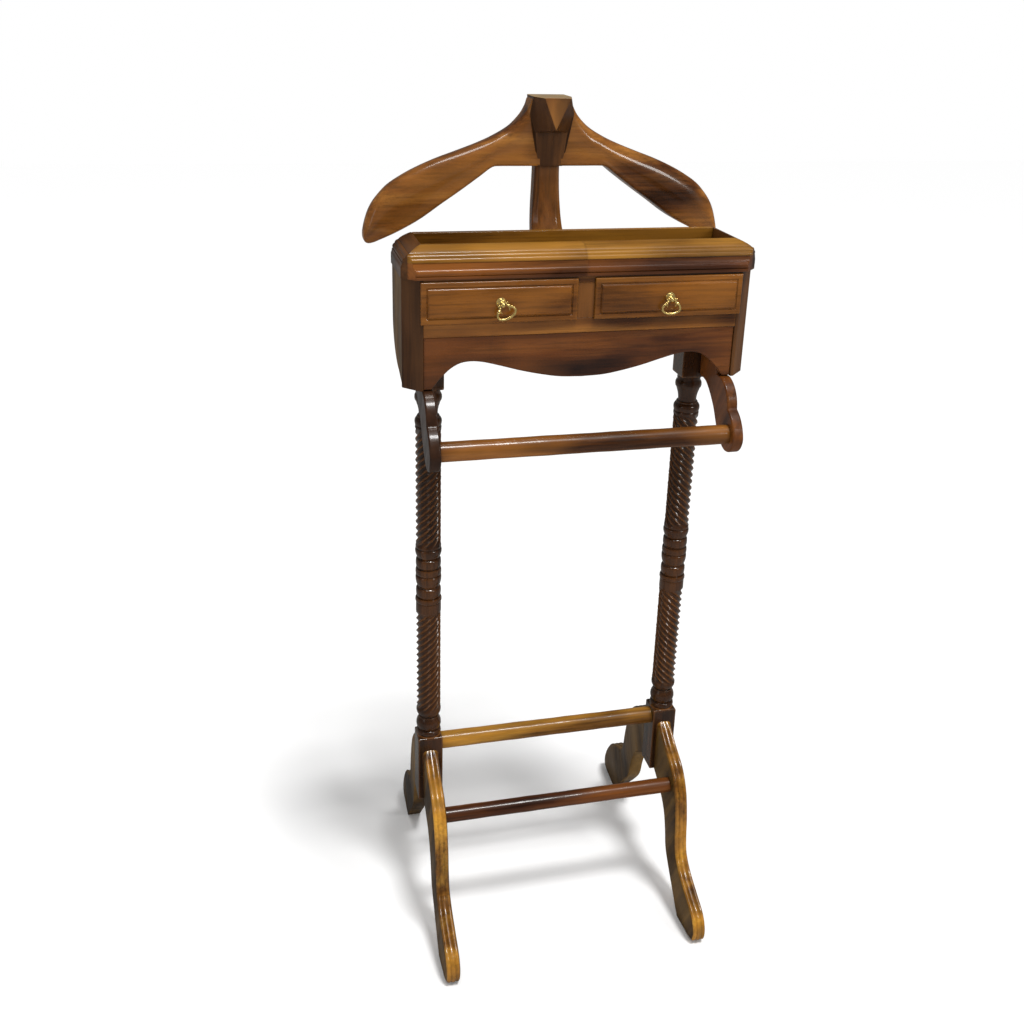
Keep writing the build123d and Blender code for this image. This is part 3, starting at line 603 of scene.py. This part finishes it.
# ------------------------------------------------------------------ reeded rim moulding
CASE_TOP, TRAY_X, TRAY_Y, BACK_Y = 945.0, 194.5, -60.5, 12.5
CANT_LINE = 292.9           # x - y on the canted corner
SIDE_LINE = 220.4           # x of the flush side
RIM_SECTION = [             # out from the tray edge, up from the case top
    (0.6, 0), (0.1, 0.6), (0.1, 35.9), (0.5, 36.7), (1.4, 36.9), (5, 35.7), (8.8, 34.1), (13, 31.9),
    (15.9, 29.9), (16.5, 29.2), (16.7, 28.5), (17.5, 28.6), (19.0, 27.9), (20.3, 26.8), (21.1, 25.4),
    (21.2, 24.3), (21.9, 24.1), (22.9, 23.2), (23.7, 21.9), (24.1, 20.5), (24.0, 19.6), (23.3, 19.1),
    (23.5, 18.4), (24.5, 18.0), (24.7, 16.4), (25.0, 14.6), (25.8, 12.9), (26.1, 12.1), (27.3, 11.6),
    (28.3, 10.4), (28.8, 8.6), (28.7, 7.0), (28.1, 5.5), (27.2, 4.7), (26.9, 4.2), (27.8, 3.8),
    (27.9, 1.2), (27.3, 0.1),
]
FRONT_STEPS, FRONT_SKIP, FRONT_FINE = 400, 8, 0.16
SIDE_STEPS = 60
MITRE_GAP = 0.15


def rim_cut(point):
    """Moves a moulding point in to the canted corner and the flush side."""
    x, y = abs(point.x), point.y
    over = x - y - CANT_LINE
    if over > 0:
        x -= over / 2
        y += over / 2
    x = min(x, SIDE_LINE)
    return Vector((math.copysign(x, point.x), y, point.z))


def rim_front(name, start, end, replaced, material):
    """Front length from start to end, mitred where an end is a corner of the tray, with close
    rings near its ends for the canted corner."""
    stations = [i for i in range(FRONT_STEPS + 1)
                if min(i, FRONT_STEPS - i) < FRONT_FINE * FRONT_STEPS or i % FRONT_SKIP == 0]
    rings = []
    for i in stations:
        ring = []
        for out, up in RIM_SECTION:
            low = start - (out if start < -TRAY_X + 1 else 0)
            high = end + (out if end > TRAY_X - 1 else 0)
            x = low + (high - low) * i / FRONT_STEPS
            ring.append(rim_cut(Vector((x, TRAY_Y - out, CASE_TOP + up))))
        rings.append(ring)
    return mesh(name, *loft(rings), replaced=replaced, slot="mahogany_dark", sharp=34, material=material)


def rim_side(name, side, replaced, material):
    """Side length from its mitre to the back board."""
    rings = []
    for step in range(SIDE_STEPS + 1):
        ease = (step / SIDE_STEPS) ** 1.6
        ring = []
        for out, up in RIM_SECTION:
            low = TRAY_Y - out + MITRE_GAP
            y = low + (BACK_Y - low) * ease
            ring.append(rim_cut(Vector((side * (TRAY_X + out), y, CASE_TOP + up))))
        rings.append(ring)
    mesh(name, *loft(rings), replaced=replaced, slot="mahogany_dark", sharp=34, material=material)


def rim_wood(name, tones, axis, seed):
    return wood(f"{name}_wood", tones, axis, seed, gloss=0.34, coat=0.25, corner_shade=1.0, sheen=0.5, patchy=0.5)


# The lower cove and bead of the front length take darker RED tones: painted shade, as they face away from
# the overhead light.
COVE_TOP = CASE_TOP + 19.3
for name, start, end, replaced, seed in (("rim_front_a", -TRAY_X, -0.05, ("rim_front",), 71),
                                         ("rim_front_b", 0.05, TRAY_X, (), 72)):
    length = rim_front(name, start, end, replaced, rim_wood(name, OLIVE, "x", seed))
    shade_faces(length, rim_wood(f"{name}_low", RED, "x", seed + 10),
             lambda centre, _: centre.z < COVE_TOP)
for side, tag in SIDES:
    name = f"rim_side_{tag}"
    rim_side(f"{name}_moulded", side, (name,), rim_wood(name, DARK, "y", 73 + side))

# ------------------------------------------------------------------ drawers
DRAWER_X, DRAWER_Z = 105.1, 917.25
FRONT_HALF_X, FRONT_HALF_Z = 94.5, 25.25
FRONT_LEVELS = [            # y, inset of the ends, inset of the top and bottom
    (-73.0, 3.1, 4.2), (-85.2, 3.1, 4.2), (-85.2, 0, 0), (-87.4, 0, 0), (-88.4, 0.6, 0.6),
    (-88.8, 1.6, 1.6), (-88.8, 6.2, 6.2), (-87.9, 6.6, 6.6), (-87.9, 7.6, 7.6), (-89.2, 8.4, 8.4),
    (-90.2, 9.8, 9.8), (-90.4, 11.0, 11.0),
]
BOX_PARTS = (("side_a", "y"), ("side_b", "y"), ("back", "x"), ("bottom", "x"))

for side, tag in SIDES:
    body = f"drawer_{tag}"
    timber = wood(f"{body}_front_wood", FRONT, "x", 84 + side, gloss=0.28, coat=0.55, patchy=0.35)
    rings = [[(side * DRAWER_X + sx * (FRONT_HALF_X - end), y, DRAWER_Z + sz * (FRONT_HALF_Z - top))
              for sx, sz in CORNERS] for y, end, top in FRONT_LEVELS]
    mesh(f"{body}_front_panel", *loft(rings), replaced=(f"{body}_front",), body=body, material=timber,
         slot="mahogany_warm", bevel=0.35, segments=2, sharp=20)
    for part, axis in BOX_PARTS:
        timber = wood(f"{body}_{part}_wood", PALE, axis, 91 + side, gloss=0.5, coat=0.0)
        keep_cad(f"{body}_{part}", timber, 0.5)

# ------------------------------------------------------------------ brass pulls
PULL_Z, HINGE_Y, HINGE_DROP = 917.3, -96.7, 1.8
LEFT_TURN = math.radians(25)
ROSETTE = [                 # radius, y
    (5.7, -90.35), (5.9, -90.6), (5.8, -91.0), (5.0, -91.25), (4.6, -91.2), (4.3, -91.5),
    (4.1, -92.0), (3.3, -92.5), (2.4, -92.8), (2.0, -93.2),
]
BOLT = [                    # radius, y
    (1.9, -67.5), (1.95, -92.2), (1.7, -93.4), (1.6, -94.2), (2.4, -94.6), (3.0, -95.4),
    (3.2, -96.7), (3.0, -98.0), (2.3, -99.1), (1.2, -99.7), (0.3, -99.9),
]
BOLT_NECK_Y, BOLT_NECK, BOLT_WIDTH = -92.2, 2.4, 2.7
HALF_BAIL = [               # across and up from the hinge, from the eye to the lowest point
    (3.9, 0.2), (4.6, -1.8), (5.6, -3.6), (6.8, -4.9), (8.3, -6.0), (9.9, -7.6), (11.0, -9.6),
    (11.3, -11.6), (10.4, -14.0), (8.2, -15.9), (5.2, -17.1), (2.4, -17.6), (0, -17.7),
]
BAIL_SPUR = ((7.4, -5.4), (5.6, -7.2), (4.9, -9.4))
BAIL_STEPS = 120
WIRE = 1.42
BEADS = (                   # place from the lowest point (0) to the eye (1), height, width
    (0.0, 0.30, 0.16), (0.80, 1.05, 0.030), (0.70, 0.55, 0.022), (0.90, 0.5, 0.022),
)
EYE_X, EYE_HALF, EYE_RADIUS = 4.0, 0.95, 2.15


def turns(count):
    return [2 * math.pi * k / count for k in range(count)]


def turned(name, centre, stations, **options):
    """Round piece about a line along y; stations are (radius, y)."""
    rings = [[(centre[0] + r * math.cos(a), y, centre[1] + r * math.sin(a)) for a in turns(40)]
             for r, y in stations]
    mesh(name, *loft(rings), **options)


def tube(points, radii, count=14):
    """Rings of a round wire of changing radius along a line in a plane of constant y."""
    rings = []
    normal = Vector((0, 1, 0))
    for i, (p, r) in enumerate(zip(points, radii)):
        along = (points[min(i + 1, len(points) - 1)] - points[max(i - 1, 0)]).normalized()
        up = along.cross(normal).normalized()
        rings.append([p + normal * r * math.cos(a) + up * r * math.sin(a) for a in turns(count)])
    return rings


def pull(side, tag, turn):
    """Rosette, bolt and bail of one pull, turned on its bolt."""
    body = f"drawer_{tag}"
    brass = dict(material=BRASS, slot="brass", sharp=35)
    centre = (side * DRAWER_X, PULL_Z)
    turned(f"rosette_{tag}_turned", centre, ROSETTE, body=body, replaced=(f"rosette_{tag}",), **brass)
    across = Vector((math.cos(turn), 0, math.sin(turn)))
    down = Vector((math.sin(turn), 0, -math.cos(turn)))
    pivot = Vector((centre[0], HINGE_Y, centre[1])) + down * HINGE_DROP

    def on_pull(x, z, y=0.0):
        return pivot + across * x - down * z + Vector((0, y, 0))

    rings = []
    for r, y in BOLT:
        drop = HINGE_DROP * min(1.0, max(0.0, (BOLT_NECK_Y - y) / BOLT_NECK))
        middle = Vector((centre[0], y, centre[1])) + down * drop
        rings.append([middle + across * min(r, BOLT_WIDTH) * math.cos(a) + down * r * math.sin(a)
                      for a in turns(28)])
    mesh(f"pull_bolt_{tag}_turned", *loft(rings), replaced=(f"pull_bolt_{tag}",), body=body, **brass)

    knots = [(-x, z) for x, z in HALF_BAIL] + HALF_BAIL[-2::-1]
    line = curve_through([on_pull(x, z) for x, z in knots], BAIL_STEPS + 1)
    radii = []
    for i in range(BAIL_STEPS + 1):
        t = abs(2 * i / BAIL_STEPS - 1)
        radii.append(WIRE + sum(high * math.exp(-((t - place) / wide) ** 2)
                                for place, high, wide in BEADS))
    parts = [tube(line, radii)]
    for end in (-1, 1):
        angles = [math.pi * (k / 8 - 0.5) for k in range(9)]
        eye = [(EYE_X + EYE_HALF * math.sin(a), max(EYE_RADIUS * math.cos(a) ** 0.35, 0.2))
               for a in angles]
        parts.append([[on_pull(end * x, r * math.cos(a), r * math.sin(a)) for a in turns(24)]
                      for x, r in eye])
        spur = curve_through([on_pull(end * x, z) for x, z in BAIL_SPUR], 12)
        parts.append(tube(spur, [1.0 - 0.05 * k for k in range(12)], 12))
    points, faces = [], []
    for part in parts:
        extra, more = loft(part)
        faces += [tuple(len(points) + i for i in face) for face in more]
        points += extra
    mesh(f"bail_{tag}_cast", points, faces, replaced=(f"bail_{tag}",), body=f"bail_{tag}", **brass)


for side, tag in SIDES:
    pull(side, tag, LEFT_TURN if tag == "left" else 0.0)
    for node in (f"pull_pin_{tag}", f"pull_nut_{tag}"):
        keep_cad(node, BRASS, 0.15)

# ------------------------------------------------------------------ hanger arms
ARM_TOP = [
    (14, 1133.2), (22, 1133.2), (25.3, 1132.2), (29, 1123), (36, 1112), (53, 1096.5), (74, 1084.3),
    (94, 1075.5), (121, 1065.5), (149, 1055.5), (176, 1043.8), (196, 1033), (211, 1023), (222, 1012),
    (231, 1000.5), (237, 989), (241.5, 975), (243.6, 964), (243.2, 956),
]
ARM_LOW = [
    (14, 1047.6), (40, 1047.6), (68, 1047.6), (74, 1047.2), (79, 1045), (92, 1035.5), (118, 1017),
    (144, 999.5), (170, 981.5), (196, 967.2), (222, 955.3), (232, 951), (238, 950), (241.5, 951.6),
    (243.2, 956),
]
ARM_STEPS = 110
ARM_FRONT, ARM_BACK = 98.0, 134.0
ARM_HALF = (ARM_BACK - ARM_FRONT) / 2
TIP_START = 0.78            # where the arm starts to thin, along it from 0 to 1
HEEL = 3.5


def arm(side, tag, material):
    """Hanger arm: flat front, top edges rolled over, nose rounded off."""
    top = curve_through(ARM_TOP, ARM_STEPS)
    low = curve_through(ARM_LOW, ARM_STEPS)
    middle_y = (ARM_FRONT + ARM_BACK) / 2
    rings = []
    for i in range(ARM_STEPS - 1):
        t = i / (ARM_STEPS - 1)
        edge = top[i] - low[i]
        length = edge.length
        unit = edge.normalized()
        tip = max(0.0, (t - TIP_START) / (1 - TIP_START))
        half = ARM_HALF * math.sqrt(max(0.0, 1 - 0.80 * tip ** 2.6))
        roll = min(0.46 * length, 20 + 14 * t)
        near = min(1.0, max(0.0, (top[i].x - 20) / 30))
        roll_in = min(half * 0.92, 1.0 + 14.0 * near)
        heel = min(0.25 * length, HEEL)
        heel_in = min(half * 0.4, HEEL)
        quarter = [math.pi / 2 * k / 6 for k in range(7)]
        foot = [(heel * (1 - math.cos(a)), half - heel_in + heel_in * math.sin(a)) for a in quarter]
        waist = [(heel + (length - roll - heel) * k / 6, half - 1.1 * math.sin(math.pi * k / 6))
                 for k in range(1, 6)]
        quarter = [math.pi / 2 * k / 14 for k in range(15)]
        shoulder = [(length - roll + roll * math.sin(a), half - roll_in * (1 - math.cos(a)))
                    for a in quarter]
        edge_points = [(low[i] + unit * up, h) for up, h in foot + waist + shoulder]
        ring = [(side * p.x, middle_y - h, p.y) for p, h in edge_points]
        ring += [(side * p.x, middle_y + h, p.y) for p, h in reversed(edge_points)]
        rings.append(ring)
    points, faces = loft(rings)
    mesh(f"hanger_arm_{tag}_shaped", points, faces, (f"hanger_arm_{tag}",), material=material,
         slot="mahogany_dark", sharp=42)


for side, tag in SIDES:
    arm(side, tag, wood(f"hanger_arm_{tag}_wood", ARM, "x", 101 + side, gloss=0.26, coat=0.6))

# ------------------------------------------------------------------ hanger head and post
HEAD_POINTS = [
    (-17.8, 70.3, 1135), (17.8, 70.3, 1135), (0, 75.8, 1094.6),
    (-25.0, 97.4, 1135), (-21.0, 97.4, 1090.5), (25.0, 97.4, 1135), (21.0, 97.4, 1090.5),
    (-16.5, 98.6, 1047.6), (16.5, 98.6, 1047.6),
    (-25.0, 134.2, 1135), (25.0, 134.2, 1135), (-16.5, 136.8, 1047.6), (16.5, 136.8, 1047.6),
    (-30.0, 97.2, 1113), (30.0, 97.2, 1113),
]
HEAD_FACES = [
    (0, 1, 2), (0, 2, 4, 13, 3), (1, 5, 14, 6, 2), (2, 6, 4), (4, 6, 8, 7), (0, 3, 9, 10, 5, 1),
    (7, 8, 12, 11), (9, 11, 12, 10), (3, 13, 4, 7, 11, 9), (5, 10, 12, 8, 6, 14),
]
NECK_TOP = 1090
head_wood = wood("hanger_head_wood", ARM, "z", 111, gloss=0.3, coat=0.5, sheen=0.8)
head = mesh("hanger_head_carved", HEAD_POINTS, HEAD_FACES, ("hanger_head",), material=head_wood,
            slot="mahogany_dark", bevel=0.7, segments=3, sharp=8)
# The side facets and the underside of the head take dark tones: painted shade.
shade_faces(head, wood("hanger_head_shaded_flank", DARK, "z", 113, gloss=0.3, coat=0.3),
         lambda centre, normal: abs(normal.x) > 0.45 or normal.z < -0.5)
# The flat top takes cream tones: a painted highlight.
head.data.materials.append(wood("hanger_head_lit_top", CREAM_HIGHLIGHT, "x", 114, gloss=0.30, coat=0.6, patchy=0.2))
# The front below the nose takes dark tones: a painted shadow cast by the nose.
head.data.materials.append(wood("hanger_head_neck_shadow", DARK, "z", 115, gloss=0.3, coat=0.3))
TOP_HIGHLIGHT, NECK_SHADOW = 2, 3
for face in head.data.polygons:
    if face.normal.z > 0.9:
        face.material_index = TOP_HIGHLIGHT
    elif face.normal.y < -0.9 and face.center.z / MM < NECK_TOP:
        face.material_index = NECK_SHADOW

POST_FRONT = [
    (107, 1047.5), (107, 1030), (105, 1000), (97, 968), (80, 947), (56, 932), (35, 918), (20, 902),
    (13.5, 887), (12.6, 870), (12.6, 850),
]
POST_BACK = [
    (137, 1047.5), (135.5, 1018), (131, 988), (118, 958), (98, 935), (76, 918), (58, 903),
    (47, 888), (42.5, 872), (42, 860), (42, 850),
]
POST_TOP, POST_WIDENING = 1047.5, 97.5
POST_CHAMFER = 6.5


def hanger_post(material):
    """Swan-neck post with chamfered edges, wider towards its foot."""
    front = curve_through(POST_FRONT, 64)
    back = curve_through(POST_BACK, 64)
    rings = []
    for f, b in zip(front, back):
        widening = min(1.0, max(0.0, (POST_TOP - f.y) / POST_WIDENING))
        half = 16.8 + 5.7 * widening ** 1.6
        flat = 11.0 + 1.8 * widening
        inset = (b - f).normalized() * POST_CHAMFER
        corners = ((-flat, f), (flat, f), (half, f + inset), (half, b - inset), (flat, b), (-flat, b),
                   (-half, b - inset), (-half, f + inset))
        rings.append([(x, point.x, point.y) for x, point in corners])
    points, faces = loft(rings)
    mesh("hanger_post_swept", points, faces, ("hanger_post",), material=material,
         slot="mahogany_dark", bevel=1.6, segments=3, sharp=24)


hanger_post(wood("hanger_post_wood", ARM, "z", 112, gloss=0.26, coat=0.6))
for node in ("post_screws", "case_screws"):
    keep_cad(node, STEEL, 0.1)

# ------------------------------------------------------------------ floor and light
floor_mesh = bpy.data.meshes.new("floor")
FLOOR_HALF = 8
floor_mesh.from_pydata([(sx * FLOOR_HALF, sy * FLOOR_HALF, 0) for sx, sy in CORNERS], [], [(0, 1, 2, 3)])
floor = bpy.data.objects.new("floor", floor_mesh)
scene.collection.objects.link(floor)
floor.location.z = -0.0003  # just clear of the feet
pale = bpy.data.materials.new("pale_floor")
pale.use_nodes = True
pale_nodes, pale_links = nodes_of(pale)
pale_shader = pale_nodes["Principled BSDF"]
pale_shader.inputs["Base Color"].default_value = (0.985, 0.985, 0.985, 1)
pale_shader.inputs["Roughness"].default_value = 0.9
# The floor and the world are pale to the camera and dimmer in the polish, so the wood stays clear.
flag = add_node(pale, "ShaderNodeBsdfDiffuse")
flag.inputs["Color"].default_value = (0.22, 0.22, 0.22, 1)
path = add_node(pale, "ShaderNodeLightPath")
either = add_node(pale, "ShaderNodeMixShader")
pale_links.new(path.outputs["Is Glossy Ray"], either.inputs["Fac"])
pale_links.new(pale_shader.outputs["BSDF"], either.inputs[1])
pale_links.new(flag.outputs["BSDF"], either.inputs[2])
pale_links.new(either.outputs["Shader"], pale_nodes["Material Output"].inputs["Surface"])
floor_mesh.materials.append(pale)

world = bpy.data.worlds.new("studio")
world.use_nodes = True
background = world.node_tree.nodes["Background"]
background.inputs["Color"].default_value = (1, 1, 1, 1)
background.inputs["Strength"].default_value = 0.42
white = world.node_tree.nodes.new("ShaderNodeBackground")
dim = world.node_tree.nodes.new("ShaderNodeBackground")
dim.inputs["Strength"].default_value = 0.12
seen = world.node_tree.nodes.new("ShaderNodeLightPath")
world_links = world.node_tree.links
shaded = background.outputs["Background"]
for ray, other in (("Is Glossy Ray", dim), ("Is Camera Ray", white)):
    blend = world.node_tree.nodes.new("ShaderNodeMixShader")
    other.inputs["Color"].default_value = (1, 1, 1, 1)
    world_links.new(seen.outputs[ray], blend.inputs["Fac"])
    world_links.new(shaded, blend.inputs[1])
    world_links.new(other.outputs["Background"], blend.inputs[2])
    shaded = blend.outputs["Shader"]
world_links.new(shaded, world.node_tree.nodes["World Output"].inputs["Surface"])
scene.world = world


LAMP_WHITE = (1, 0.99, 0.97)


def aim(light, place, target):
    light.location = place
    light.rotation_euler = (Vector(place) - Vector(target)).to_track_quat("Z", "Y").to_euler()
    scene.collection.objects.link(light)


def area_light(name, place, target, size, power):
    data = bpy.data.lights.new(name, "AREA")
    data.shape = "RECTANGLE"
    data.size, data.size_y = size
    data.energy = power
    data.color = LAMP_WHITE
    aim(bpy.data.objects.new(name, data), place, target)


overhead = bpy.data.lights.new("overhead", "SUN")
overhead.energy = 2.1
overhead.angle = math.radians(11)
overhead.color = (1, 1, 1)
aim(bpy.data.objects.new("overhead", overhead), (0.17, -0.29, 1.0), (0, 0, 0))
area_light("key", (1.5, -1.9, 1.9), (0, 0, 0.7), (0.6, 0.4), 11)
area_light("left_fill", (-2.2, -1.2, 1.5), (0, 0, 0.7), (0.5, 0.9), 2.0)
area_light("top_left", (-0.5, -0.5, 3.0), (0, 0, 1.0), (0.5, 0.5), 9)

scene.view_settings.view_transform = "Standard"
scene.view_settings.exposure = 0.0
